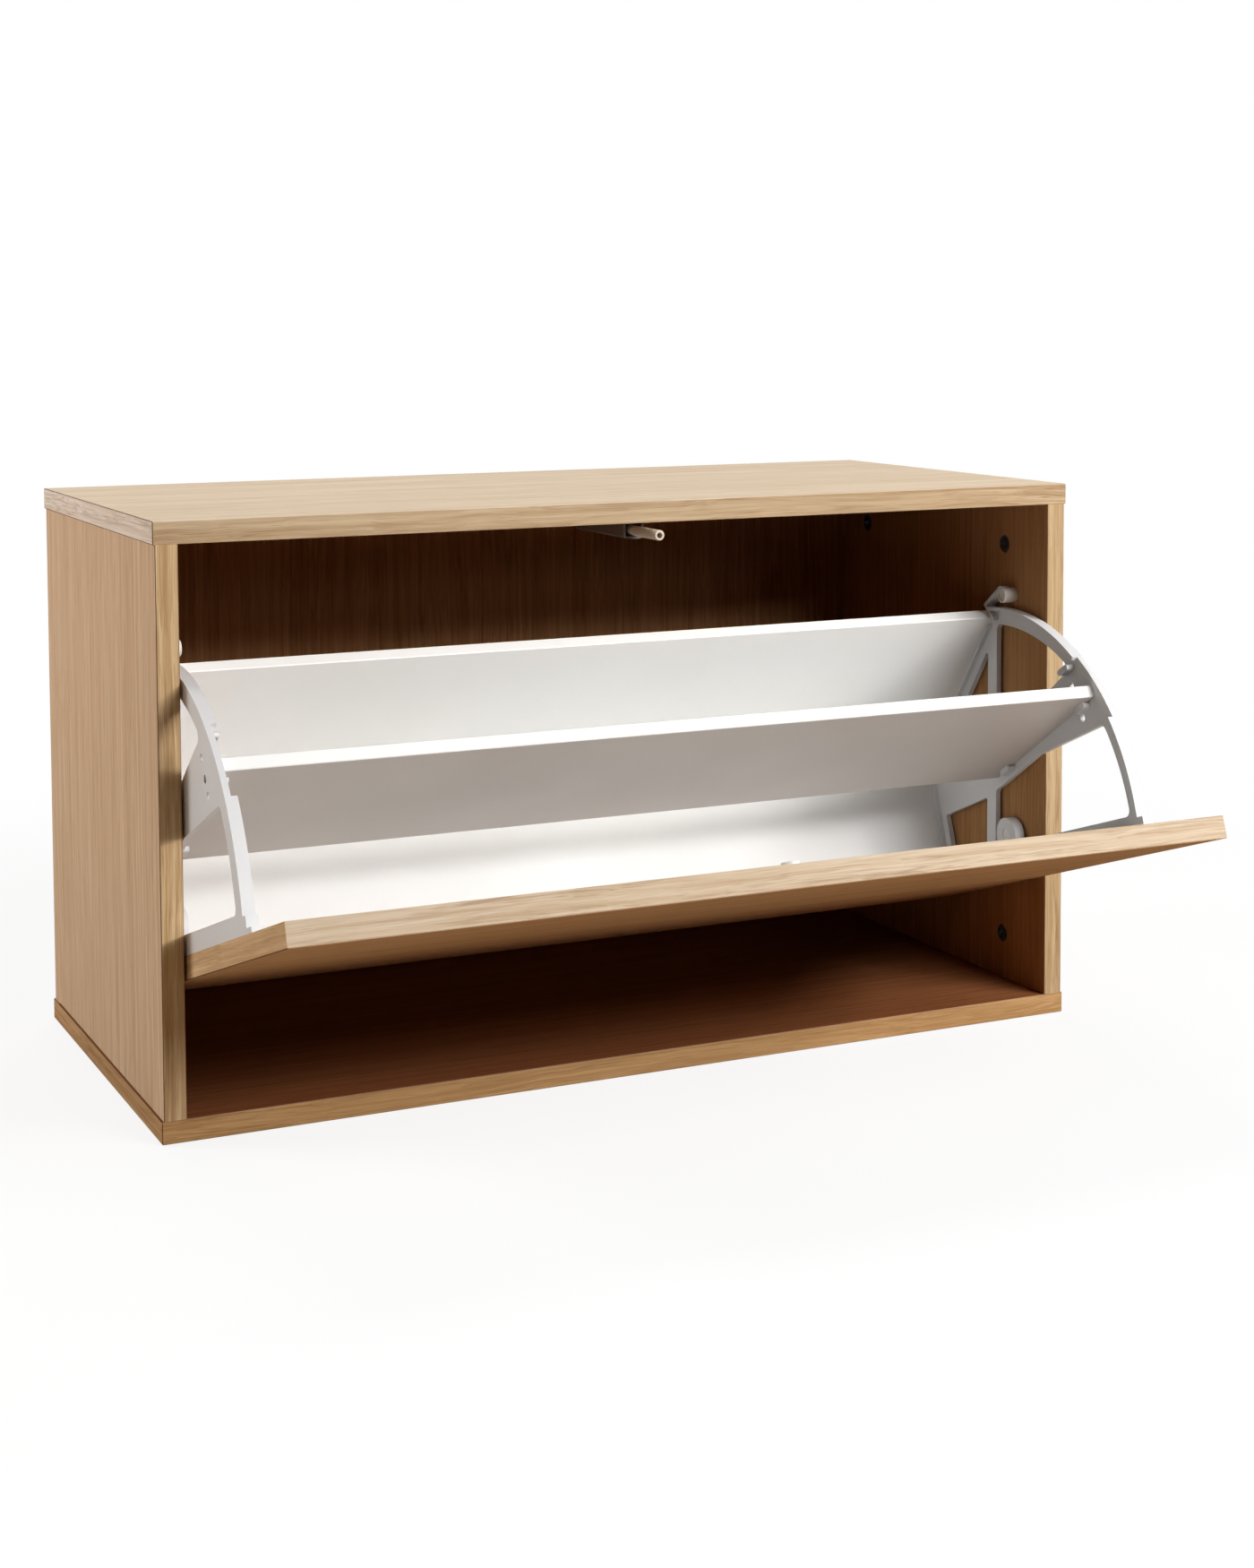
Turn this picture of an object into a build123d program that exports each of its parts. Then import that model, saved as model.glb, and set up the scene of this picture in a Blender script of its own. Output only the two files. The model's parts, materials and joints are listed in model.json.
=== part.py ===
from build123d import *
import os
from math import atan2, cos, degrees, hypot, radians, sin, sqrt

# Shoe cabinet: an oak carcass with one tilting flap that carries two shoe compartments.
# Millimetres. X runs along the width, Y from front to back, Z up.
# The origin is the centre of the carcass underside.

# Carcass boards
WIDTH = 760.0
DEPTH = 350.0
HEIGHT = 440.0
BOARD = 16.5
SIDE_INSET = 1.5          # top and bottom stand proud of the side panels by this much
ARRIS = 0.6               # eased edge of the boards
FRONT = -DEPTH / 2
REAR = DEPTH / 2
INNER_X = WIDTH / 2 - SIDE_INSET - BOARD
CEILING = HEIGHT - BOARD

# Back panel and its groove
BACK_THICKNESS = 6.0
BACK_FROM_REAR = 14.0
GROOVE_DEPTH = 7.0
GROOVE_PLAY = 0.2
GROOVE_END_PLAY = 0.5

# Cam fittings that pull top and bottom onto the side panels
CAM_FROM_EDGE = 62.4      # from the front and from the rear edge
CAM_FROM_END = 37.5       # from the end of the side panel
CAM_RADIUS = 7.5
CAM_DEPTH = 12.8
CAM_SETBACK = 0.4
CAM_SLOT = 2.4
CAM_SLOT_LENGTH = 9.0
CAM_SLOT_DEPTH = 2.5
BOLT_RADIUS = 3.0
BOLT_HEAD_RADIUS = 3.4
BOLT_HEAD_LENGTH = 3.0
BOLT_IN_PANEL = 11.0
DOWEL_FROM_EDGE = 100.0
DOWEL_RADIUS = 4.0
DOWEL_IN_SIDE = 20.0
DOWEL_IN_PANEL = 11.0
HOLE_PLAY = 0.1           # radial play of pins in drilled holes
PRISM_SIDES = 8           # hidden pins and their holes are drawn with flats
ROUND_SIDES = 16          # small round pieces that show only close up
CAM_HOLE_SIDES = 24

# Pivot of the flap and its open position
PIVOT_FROM_FRONT = 41.0
PIVOT_Y = FRONT + PIVOT_FROM_FRONT
PIVOT_Z = 143.5
OPEN_ANGLE = 71.7

# Flap board
FLAP_THICKNESS = 17.0
FLAP_RECESS = 1.8         # closed flap behind the carcass front
FLAP_GAP = 2.0            # round the top and both ends
SWING_GAP = 1.5           # least room between the swinging lower edge and the bottom panel
FLAP_HALF = INNER_X - FLAP_GAP
FLAP_IN = -(PIVOT_FROM_FRONT - FLAP_RECESS - FLAP_THICKNESS)
FLAP_OUT = FLAP_IN - FLAP_THICKNESS
FLAP_TOP = CEILING - FLAP_GAP - PIVOT_Z
FLAP_BOTTOM = -sqrt((PIVOT_Z - BOARD - SWING_GAP) ** 2 - FLAP_OUT ** 2)
LAMINATE = 0.8
LIPPING = 1.0             # oak edge left showing round the laminate

# Fan bracket, drawn round the pivot with the flap closed
BRACKET_OUT = INNER_X - 2.0
BRACKET_PLATE = 4.6
BRACKET_IN = BRACKET_OUT - BRACKET_PLATE
RIM_CENTRE = (-2.3, -9.5) # a little off the pivot, so the rim leaves the stop pin as the flap shuts
RIM_OUT = 195.0
RIM_IN = 180.6
FLANGE_IN = BRACKET_OUT - 9.0
FLANGE_THICKNESS = 3.0
FLANGE_SPANS = ((-8.0, 22.3), (41.8, 80.5))
FRONT_RAIL = 14.2
FRONT_RAIL_END = -118.0
WINDOW_FILLET = 6.0
SMALL_FILLET = 2.0
BOSS_RADIUS = 14.0
BOSS_IN = BRACKET_OUT - 9.0
PIN_RADIUS = 5.0
PIN_PLAY = 0.06
RAIL_FRONT = 9.0          # rear rail in front of the divider's face
RAIL_BEHIND = 13.0        # rear rail behind it
RAIL_OVERRUN = 40.0       # rear rail carried past the rim before the rim trims it
RIB = 1.6
RIB_HEIGHT = 4.0
RIB_START = 8.0
FAR = 300.0               # beyond everything on the bracket

# Dividers between the two brackets
DIVIDER = 10.0
DIVIDER_PLAY = 0.2
REAR_START = (179.1, 32.0)
REAR_ANGLE = 233.5        # direction of the rear divider from its free edge down to the front
REAR_LENGTH = 183.0
MIDDLE_START = (89.5, 152.9)
MIDDLE_ANGLE = 255.3
MIDDLE_LENGTH = 163.0
FLOOR_TOP = -104.0        # floor board between the flap and the rear divider
FLOOR_RAIL = 9.0          # bracket left above the floor board

# Pegs that pin the dividers to the brackets, as distances along each divider
REAR_PEGS = (34.0, 150.0)
MIDDLE_PEGS = (24.0, 140.0)
FLOOR_PEGS = (6.0, 48.0)
PEG_RADIUS = 3.2
PEG_IN_DIVIDER = 10.0
PEG_SETBACK = 2.8
SPARE_HOLES = (-12.5, 15.5)  # unused peg holes below and above the middle divider's first peg
LUG_LENGTH = 15.0
LUG_WIDTH = 4.8
LUG_HEIGHT = 7.0
LUG_AHEAD = 8.5           # first lug in front of its peg
SPARE_LUG = 33.0          # second lug row for a higher lower compartment
SPARE_LUG_AHEAD = 4.0

# Sprung hook that catches the stop pin when the flap is open
HOOK_WIDTH = 3.0
HOOK_ROOT = (181.0, 78.6)
HOOK_ELBOW = (193.0, 81.8)
HOOK_TIP = (206.8, 75.1)

# Foot of the rim on the flap
FOOT_BLOCK = 12.0
FOOT_HEIGHT = 12.0
FOOT_SINK = 4.0           # foot block set into the rim's end
FOOT_POCKET = 5.4
POCKET_WALL = 1.8
POCKET_FLOOR = 3.0
TONGUE = 11.0
TONGUE_THICKNESS = 4.0
FOOT_PLATE_WIDTH = 14.0
FOOT_PLATE_THICKNESS = 3.0
FOOT_PLATE_FILLET = 4.0
FRONT_FOOT = (118.0, 184.0)
REAR_FOOT = (-72.0, -22.0)
BRACKET_SCREWS = (132.0, 166.0, -47.0)

# Stop pins and pivot pins in the side panels
STOP_Y = FRONT + 47.7
STOP_Z = 344.3
STOP_RADIUS = 6.2
STOP_LENGTH = 12.8
STOP_RECESS = 1.2
STOP_WALL = 2.0
SHANK_RADIUS = 4.0
SHANK_LENGTH = 10.0
COLLAR_RADIUS = 11.0
COLLAR_THICKNESS = 1.7
PIN_SETBACK = 0.6

# Push latch under the top panel
LATCH_FRONT = FRONT + 26.0
LATCH_LENGTH = 90.0
LATCH_WIDTH = 17.0
LATCH_HEIGHT = 14.0
LATCH_WALL = 1.8
LATCH_MOUTH = 14.0
LATCH_FILLET = 3.0
LATCH_LIP = 4.0
LIP_INSET = 3.0
LIP_FILLET = 3.0
LATCH_TAB = 14.0
LATCH_TAB_WIDTH = 20.0
LATCH_SCREW_X = 5.5
LATCH_TAB_THICKNESS = 3.0
PLUNGER_Z = CEILING - 8.0
PLUNGER_TIP = FRONT - 20.0
PLUNGER_RADIUS = 4.0
PLUNGER_NOSE = 0.6
PLUNGER_BORE = 2.2
PLUNGER_BORE_DEPTH = 30.0
PLUNGER_LENGTH = 88.0
PLUNGER_PLAY = 0.08
SPIGOT_RADIUS = 2.5
SPIGOT_LENGTH = 6.0
SPIGOT_BACK = 8.0

# Strike disc on the flap, where the plunger meets it
STRIKE_RADIUS = 6.5
STRIKE_THICKNESS = 2.2
STRIKE_FROM_TOP = 8.0
STRIKE_EDGE = 0.5

# Wood screws
SCREW_RADIUS = 1.7
SCREW_HEAD_RADIUS = 3.6
SCREW_HEAD = 2.2
SCREW_LENGTH = 10.0
SCREW_HEAD_TAPER = 22.0
DRIVE_WIDTH = 0.9
DRIVE_LENGTH = 3.6
DRIVE_DEPTH = 1.0

parts = {}


def block(x0, x1, y0, y1, z0, z1):
    """Box between two corners."""
    return Pos((x0 + x1) / 2, (y0 + y1) / 2, (z0 + z1) / 2) * Box(x1 - x0, y1 - y0, z1 - z0)


def rod(start, end, radius):
    """Cylinder from one point to another."""
    run = Vector(*end) - Vector(*start)
    return extrude(Plane(origin=start, z_dir=run) * Circle(radius), run.length)


def prism(start, end, radius, sides=PRISM_SIDES):
    """Many-sided pin from one point to another, for fasteners that stay hidden."""
    run = Vector(*end) - Vector(*start)
    return extrude(Plane(origin=start, z_dir=run) * RegularPolygon(radius, sides), run.length)


def both(shape):
    """A shape and its mirror image on the other side of the cabinet."""
    return [shape, mirror(shape, about=Plane.YZ)]


def polar(radius, angle):
    """Depth and height of a point at a radius from the pivot.

    The angle starts at the closed flap's upward direction and grows towards the inside.
    """
    return (radius * sin(radians(angle)), radius * cos(radians(angle)))


def along(start, angle, distance, offset=0.0):
    """Point at a distance along a line, moved sideways to its left by an offset."""
    run = (cos(radians(angle)), sin(radians(angle)))
    return (start[0] + distance * run[0] - offset * run[1], start[1] + distance * run[1] + offset * run[0])


def slab(start, angle, near, far, length, first=0.0):
    """Rectangle beside a line, between two sideways offsets."""
    corners = [along(start, angle, first, near), along(start, angle, length, near)]
    corners += [along(start, angle, length, far), along(start, angle, first, far)]
    return Polygon(*corners, align=None)


def bar(start, end, width):
    """Strip with rounded ends between two points."""
    run = (end[0] - start[0], end[1] - start[1])
    middle = ((start[0] + end[0]) / 2, (start[1] + end[1]) / 2)
    turn = degrees(atan2(run[1], run[0]))
    return Pos(*middle) * Rot(0, 0, turn) * SlotCenterToCenter(hypot(*run), width)


def across(sketch, x0, x1):
    """Solid from a depth and height sketch, between two planes across the width."""
    return extrude(Plane.YZ.offset(x0) * sketch, x1 - x0)


def tip_open(shape):
    """Carry a shape drawn round the pivot with the flap closed to its open place."""
    return Pos(0, PIVOT_Y, PIVOT_Z) * Rot(OPEN_ANGLE, 0, 0) * shape


def corner_places():
    """Every cam fitting: side, front or rear, and top or bottom."""
    for side in (-1, 1):
        for end in (-1, 1):
            for level in (-1, 1):
                yield side, end, level


# Cam fittings and dowels

SIDE_MID_X = INNER_X + BOARD / 2


def cam_place(side, end, level):
    """Centre of a cam on the side panel's inner face."""
    z = CEILING - CAM_FROM_END if level > 0 else BOARD + CAM_FROM_END
    return Vector(side * INNER_X, end * (DEPTH / 2 - CAM_FROM_EDGE), z)


def joint_plane(level):
    """Height of the face where a side panel meets the top or the bottom."""
    return CEILING if level > 0 else BOARD


def cam_hole(side, end, level):
    centre = cam_place(side, end, level)
    return prism(centre, centre + Vector(side * CAM_DEPTH, 0, 0), CAM_RADIUS, CAM_HOLE_SIDES)


def cam_lock(side, end, level):
    """Slotted disc with a side bore that grips the bolt's head."""
    centre = cam_place(side, end, level)
    face = centre + Vector(side * CAM_SETBACK, 0, 0)
    lock = prism(face, centre + Vector(side * CAM_DEPTH, 0, 0), CAM_RADIUS - HOLE_PLAY, ROUND_SIDES)
    for size in ((CAM_SLOT, CAM_SLOT_LENGTH), (CAM_SLOT_LENGTH, CAM_SLOT)):
        lock -= Pos(*face) * Box(2 * CAM_SLOT_DEPTH, *size)
    middle = Vector(side * SIDE_MID_X, centre.Y, centre.Z)
    return lock - prism(middle, middle + Vector(0, 0, level * 2 * CAM_RADIUS), BOLT_HEAD_RADIUS + HOLE_PLAY)


def cam_bolt(side, end, level, play=0.0):
    """Headed bolt from the cam through the panel's end into the top or bottom."""
    centre = cam_place(side, end, level)
    low = Vector(side * SIDE_MID_X, centre.Y, centre.Z)
    seat = joint_plane(level) + level * BOLT_IN_PANEL
    shank = prism(low, Vector(low.X, low.Y, seat), BOLT_RADIUS + play)
    return shank + prism(low, low + Vector(0, 0, level * BOLT_HEAD_LENGTH), BOLT_HEAD_RADIUS + play)


def dowel(side, end, level, play=0.0):
    """Wooden dowel beside each cam fitting."""
    y = end * (DEPTH / 2 - DOWEL_FROM_EDGE)
    face = joint_plane(level)
    low = Vector(side * SIDE_MID_X, y, face - level * DOWEL_IN_SIDE)
    return prism(low, Vector(low.X, y, face + level * DOWEL_IN_PANEL), DOWEL_RADIUS + play)


def fitting_holes(side, level):
    """Everything drilled at one joint between a side panel and the top or bottom."""
    holes = []
    for end in (-1, 1):
        holes.append(cam_hole(side, end, level))
        holes.append(cam_bolt(side, end, level, HOLE_PLAY))
        holes.append(dowel(side, end, level, HOLE_PLAY))
    return holes


parts["cam_locks"] = [cam_lock(*place) for place in corner_places()]
parts["cam_bolts"] = [cam_bolt(*place) for place in corner_places()]
parts["dowels"] = [dowel(*place) for place in corner_places()]

# Stop pins and pivot pins


def stop_pin():
    """Hollow-ended plastic pin that the bracket's hook rests against."""
    panel = Vector(INNER_X, STOP_Y, STOP_Z)
    end = panel - Vector(STOP_LENGTH, 0, 0)
    pin = rod(panel, end, STOP_RADIUS)
    pin = chamfer(pin.faces().sort_by(Axis.X)[0].edges(), ARRIS)
    pin -= rod(end, end + Vector(STOP_RECESS, 0, 0), STOP_RADIUS - STOP_WALL)
    return pin + prism(panel, panel + Vector(SHANK_LENGTH, 0, 0), SHANK_RADIUS)


def pivot_pin():
    """Collared pin that the bracket's boss turns on."""
    panel = Vector(INNER_X, PIVOT_Y, PIVOT_Z)
    pin = rod(panel, panel - Vector(COLLAR_THICKNESS, 0, 0), COLLAR_RADIUS)
    pin += rod(panel, Vector(BOSS_IN + PIN_SETBACK, PIVOT_Y, PIVOT_Z), PIN_RADIUS)
    return pin + prism(panel, panel + Vector(SHANK_LENGTH, 0, 0), SHANK_RADIUS)


def shank_hole(y, z):
    panel = Vector(INNER_X, y, z)
    return prism(panel, panel + Vector(SHANK_LENGTH, 0, 0), SHANK_RADIUS + HOLE_PLAY)


parts["right_stop_pin"], parts["left_stop_pin"] = both(stop_pin())
parts["right_pivot_pin"], parts["left_pivot_pin"] = both(pivot_pin())

# Carcass boards

back_y1 = REAR - BACK_FROM_REAR
back_y0 = back_y1 - BACK_THICKNESS
back_tongue = GROOVE_DEPTH - GROOVE_END_PLAY
back_groove = block(
    -INNER_X - GROOVE_DEPTH, INNER_X + GROOVE_DEPTH, back_y0 - GROOVE_PLAY, back_y1,
    BOARD - GROOVE_DEPTH, CEILING + GROOVE_DEPTH,
)
parts["back_panel"] = block(
    -INNER_X - back_tongue, INNER_X + back_tongue, back_y0, back_y1,
    BOARD - GROOVE_DEPTH, CEILING + back_tongue,
)


def side_panel():
    """Right side panel, standing between bottom and top."""
    panel = block(INNER_X, INNER_X + BOARD, FRONT, REAR, BOARD, CEILING)
    panel = chamfer(panel.edges().filter_by(Axis.Z), ARRIS)
    for level in (-1, 1):
        panel -= fitting_holes(1, level)
    return panel - [back_groove, shank_hole(STOP_Y, STOP_Z), shank_hole(PIVOT_Y, PIVOT_Z)]


def lid(z0, z1, level):
    """Top or bottom board over both side panels."""
    panel = block(-WIDTH / 2, WIDTH / 2, FRONT, REAR, z0, z1)
    panel = chamfer(panel.edges(), ARRIS)
    return panel - fitting_holes(-1, level) - fitting_holes(1, level) - back_groove


parts["right_side_panel"], parts["left_side_panel"] = both(side_panel())
parts["bottom_panel"] = lid(0, BOARD, -1)
top_panel = lid(CEILING, HEIGHT, 1)

# Push latch


def screw_hole(seat, direction):
    """Pilot hole of a wood screw."""
    start = Vector(*seat)
    return prism(start, start + Vector(*direction) * SCREW_LENGTH, SCREW_RADIUS + HOLE_PLAY)


def screw(seat, direction):
    """Pan-head wood screw whose head sits on the seat, driven along a direction."""
    start = Vector(*seat)
    drive = Vector(*direction)
    crown = start - drive * SCREW_HEAD
    section = Plane(origin=start, z_dir=-drive) * RegularPolygon(SCREW_HEAD_RADIUS, ROUND_SIDES)
    head = extrude(section, SCREW_HEAD, taper=SCREW_HEAD_TAPER)
    body = head + prism(start, start + drive * SCREW_LENGTH, SCREW_RADIUS)
    for size in ((DRIVE_WIDTH, DRIVE_LENGTH), (DRIVE_LENGTH, DRIVE_WIDTH)):
        body -= Plane(origin=crown, z_dir=drive) * Box(*size, 2 * DRIVE_DEPTH)
    return body


latch_rear = LATCH_FRONT + LATCH_LENGTH
latch_floor = CEILING - LATCH_HEIGHT
latch_axis = Vector(0, LATCH_FRONT, PLUNGER_Z)
latch_seats = [
    (x, latch_rear + LATCH_TAB / 2, CEILING - LATCH_TAB_THICKNESS) for x in (-LATCH_SCREW_X, LATCH_SCREW_X)
]


def latch_spigot(play=0.0):
    """Peg on the housing that sits in the top panel."""
    base = Vector(0, LATCH_FRONT + SPIGOT_BACK, CEILING)
    return prism(base, base + Vector(0, 0, SPIGOT_LENGTH), SPIGOT_RADIUS + play)


def latch_housing():
    """Channel under the top panel, open at the front, with a lip under the plunger."""
    half = LATCH_WIDTH / 2
    body = block(-half, half, LATCH_FRONT, latch_rear, latch_floor, CEILING)
    body = fillet(body.edges().filter_by(Axis.Y).sort_by(Axis.Z)[:2], LATCH_FILLET)
    mouth_half = half - LATCH_WALL
    body -= block(
        -mouth_half, mouth_half, LATCH_FRONT, LATCH_FRONT + LATCH_MOUTH,
        latch_floor + LATCH_WALL, CEILING - LATCH_WALL,
    )
    lip = block(
        -half + LIP_INSET, half - LIP_INSET, LATCH_FRONT - LATCH_LIP, LATCH_FRONT,
        latch_floor, latch_floor + LATCH_WALL,
    )
    body += fillet(lip.edges().filter_by(Axis.Z).sort_by(Axis.Y)[:2], LIP_FILLET)
    body += block(
        -LATCH_TAB_WIDTH / 2, LATCH_TAB_WIDTH / 2, latch_rear, latch_rear + LATCH_TAB,
        CEILING - LATCH_TAB_THICKNESS, CEILING,
    )
    bore_end = latch_axis + Vector(0, LATCH_LENGTH - LATCH_WALL, 0)
    body -= rod(latch_axis, bore_end, PLUNGER_RADIUS + PLUNGER_PLAY)
    for seat in latch_seats:
        body -= screw_hole(seat, (0, 0, 1))
    return body + latch_spigot()


def latch_plunger():
    """Hollow rod with a rounded nose."""
    tip = Vector(0, PLUNGER_TIP, PLUNGER_Z)
    tube = rod(tip, tip + Vector(0, PLUNGER_LENGTH, 0), PLUNGER_RADIUS)
    tube = chamfer(tube.edges().sort_by(Axis.Y)[0], PLUNGER_NOSE)
    return tube - rod(tip, tip + Vector(0, PLUNGER_BORE_DEPTH, 0), PLUNGER_BORE)


parts["latch_housing"] = latch_housing()
parts["latch_plunger"] = latch_plunger()
parts["latch_screws"] = [screw(seat, (0, 0, 1)) for seat in latch_seats]
top_panel -= latch_spigot(HOLE_PLAY)
for seat in latch_seats:
    top_panel -= screw_hole(seat, (0, 0, 1))
parts["top_panel"] = top_panel

# Fan bracket

rail_in = FLAP_IN + FRONT_RAIL
rail_end = along(REAR_START, REAR_ANGLE, REAR_LENGTH, RAIL_BEHIND)
rail_top = along(REAR_START, REAR_ANGLE, -RAIL_OVERRUN, RAIL_BEHIND)

# Edges of the arm under the middle divider and of the spoke below the upper window
ARM_FRONT = ((66.4, 156.5), (57.3, 60.0))
ARM_HEEL = (41.0, 0.0)
ARM_HEEL_FOOT = 39.0
ARM_REAR = ((115.6, 120.5), (72.4, 0.0))
ARM_FOOT_FRONT = (35.0, 29.0)
ARM_FOOT_REAR = (68.4, 58.0)
SPOKE_SLOPE = 0.331
SPOKE_FRONT = -23.2       # height of the spoke's front edge, carried to the pivot's depth
SPOKE_REAR = -36.9
SPOKE_END = 156.0
REAR_WINDOW_FOOT = 161.0  # along the rear divider
ARM_REACH = 80.0          # arm edges carried past the rim


def on_spoke(depth, level):
    return (depth, level + SPOKE_SLOPE * depth)


def beyond(edge, distance):
    """Point past the first end of an edge."""
    start, end = Vector(*edge[0]), Vector(*edge[1])
    point = start + (start - end).normalized() * distance
    return (point.X, point.Y)


def rim_disc(radius):
    return Pos(*RIM_CENTRE) * Circle(radius)


def windows():
    """Openings of the bracket, each with rounded corners."""
    keel_level = FLOOR_TOP + FLOOR_RAIL
    lower = Polygon(
        on_spoke(rail_in, SPOKE_FRONT), on_spoke(ARM_HEEL_FOOT, SPOKE_FRONT), ARM_HEEL, ARM_FRONT[1],
        beyond(ARM_FRONT, ARM_REACH), (rail_in, FAR), align=None,
    ) & rim_disc(RIM_IN)
    upper = Polygon(
        beyond(ARM_REAR, ARM_REACH), on_spoke(ARM_REAR[1][0], SPOKE_FRONT), on_spoke(FAR, SPOKE_FRONT),
        (FAR, FAR), align=None,
    ) & rim_disc(RIM_IN)
    rear = Polygon(
        on_spoke(SPOKE_END, SPOKE_REAR), on_spoke(ARM_FOOT_REAR[0], SPOKE_REAR),
        (ARM_FOOT_REAR[1], keel_level),
        along(REAR_START, REAR_ANGLE, REAR_WINDOW_FOOT, -RAIL_FRONT), align=None,
    )
    keel = Polygon(
        on_spoke(rail_in, SPOKE_REAR), (rail_in, keel_level), (ARM_FOOT_FRONT[1], keel_level),
        on_spoke(ARM_FOOT_FRONT[0], SPOKE_REAR), align=None,
    )
    rounded = [fillet(window.vertices(), WINDOW_FILLET) for window in (lower, upper)]
    return rounded + [fillet(window.vertices(), SMALL_FILLET) for window in (rear, keel)]


def middle_peg(distance, offset=DIVIDER / 2):
    return along(MIDDLE_START, MIDDLE_ANGLE, distance, offset)


def floor_end(level):
    """Depth where the rear divider's front face reaches a level of the floor board."""
    distance = (level - REAR_START[1]) / sin(radians(REAR_ANGLE))
    return along(REAR_START, REAR_ANGLE, distance)[0]


def rear_peg(distance):
    return along(REAR_START, REAR_ANGLE, distance, DIVIDER / 2)


def peg_places():
    """Centres of all pegs of one bracket."""
    floor = [(depth, FLOOR_TOP - DIVIDER / 2) for depth in FLOOR_PEGS]
    return [rear_peg(d) for d in REAR_PEGS] + [middle_peg(d) for d in MIDDLE_PEGS] + floor


def peg_section(place, radius):
    return Pos(*place) * RegularPolygon(radius, PRISM_SIDES)


def lug(distance, offset):
    """Rounded lug that a divider rests on."""
    return bar(
        along(MIDDLE_START, MIDDLE_ANGLE, distance - (LUG_LENGTH - LUG_WIDTH) / 2, offset),
        along(MIDDLE_START, MIDDLE_ANGLE, distance + (LUG_LENGTH - LUG_WIDTH) / 2, offset),
        LUG_WIDTH,
    )


def sector(first, last):
    """Wedge between two angles, for cutting rings."""
    reach = 3 * RIM_OUT
    corners = [polar(reach, angle) for angle in (first, (first + last) / 2, last)]
    return Polygon((0, 0), *corners, align=None)


def flap_side():
    """Half plane on the inner side of the flap."""
    return Pos(FLAP_IN + FAR, 0) * Rectangle(2 * FAR, 2 * FAR)


def bracket():
    """Moulded fan bracket of the right side, drawn closed round the pivot."""
    outline = Polygon(
        (FLAP_IN, FRONT_RAIL_END), rail_end, rail_top, (FAR, FAR), (FLAP_IN, FAR), align=None,
    ) & rim_disc(RIM_OUT)
    for window in windows():
        outline -= window
    outline += Circle(BOSS_RADIUS)
    outline -= [peg_section(place, PEG_RADIUS + HOLE_PLAY) for place in peg_places()]
    for step in SPARE_HOLES:
        spare = middle_peg(MIDDLE_PEGS[0], DIVIDER / 2 + step)
        outline -= Pos(*spare) * RegularPolygon(PEG_RADIUS, ROUND_SIDES)
    plate = across(outline, BRACKET_IN, BRACKET_OUT)

    flange_ring = rim_disc(RIM_OUT) - rim_disc(RIM_OUT - FLANGE_THICKNESS)
    for span in FLANGE_SPANS:
        plate += across(flange_ring & sector(*span) & flap_side(), FLANGE_IN, BRACKET_IN)

    floor_start = (FLAP_IN, FLOOR_TOP)
    for start, angle, offset, first, last in (
        (REAR_START, REAR_ANGLE, -RIB, RIB_START, REAR_WINDOW_FOOT),
        (REAR_START, REAR_ANGLE, DIVIDER + DIVIDER_PLAY, RIB_START, REAR_LENGTH),
        (floor_start, 0.0, DIVIDER_PLAY, RIB_START, floor_end(FLOOR_TOP) - FLAP_IN - RIB_START),
        (floor_start, 0.0, -DIVIDER - RIB, RIB_START, floor_end(FLOOR_TOP - DIVIDER - RIB) - FLAP_IN),
    ):
        rib = slab(start, angle, offset, offset + RIB, last, first)
        plate += across(rib, BRACKET_IN - RIB_HEIGHT, BRACKET_IN)
    for distance, offset in (
        (MIDDLE_PEGS[0] - LUG_AHEAD, -LUG_WIDTH / 2),
        (MIDDLE_PEGS[1], -LUG_WIDTH / 2),
        (MIDDLE_PEGS[0] - SPARE_LUG_AHEAD, SPARE_LUG),
    ):
        plate += across(lug(distance, offset), BRACKET_IN - LUG_HEIGHT, BRACKET_IN)

    finger = bar(polar(*HOOK_ROOT), polar(*HOOK_ELBOW), HOOK_WIDTH)
    finger += bar(polar(*HOOK_ELBOW), polar(*HOOK_TIP), HOOK_WIDTH)
    plate += across(finger, FLANGE_IN, BRACKET_OUT)

    foot_z = RIM_CENTRE[1] + sqrt(RIM_OUT ** 2 - (FLAP_IN - RIM_CENTRE[0]) ** 2) - FOOT_SINK
    plate += block(FLANGE_IN, BRACKET_OUT, FLAP_IN, FLAP_IN + FOOT_HEIGHT, foot_z, foot_z + FOOT_BLOCK)
    pocket_x = FLANGE_IN + POCKET_WALL
    pocket_z = foot_z + (FOOT_BLOCK - FOOT_POCKET) / 2
    plate -= block(
        pocket_x, pocket_x + FOOT_POCKET, FLAP_IN + POCKET_FLOOR, FLAP_IN + FOOT_HEIGHT,
        pocket_z, pocket_z + FOOT_POCKET,
    )
    tongue_z = foot_z + FOOT_BLOCK
    plate += block(FLANGE_IN, BRACKET_OUT, FLAP_IN, FLAP_IN + TONGUE_THICKNESS, tongue_z, tongue_z + TONGUE)
    for first, last in (FRONT_FOOT, REAR_FOOT):
        pad = block(
            BRACKET_IN - FOOT_PLATE_WIDTH, BRACKET_IN, FLAP_IN, FLAP_IN + FOOT_PLATE_THICKNESS, first, last,
        )
        plate += fillet(pad.edges().filter_by(Axis.Y).sort_by(Axis.X)[:2], FOOT_PLATE_FILLET)
    for seat in bracket_seats():
        plate -= screw_hole(seat, (0, -1, 0))

    plate += across(Circle(BOSS_RADIUS), BOSS_IN, BRACKET_IN)
    return plate - across(Circle(PIN_RADIUS + PIN_PLAY), BOSS_IN, BRACKET_OUT)


def bracket_seats():
    """Places of the screws that hold the right bracket to the flap."""
    x = BRACKET_IN - FOOT_PLATE_WIDTH / 2
    return [(x, FLAP_IN + FOOT_PLATE_THICKNESS, z) for z in BRACKET_SCREWS]


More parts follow.
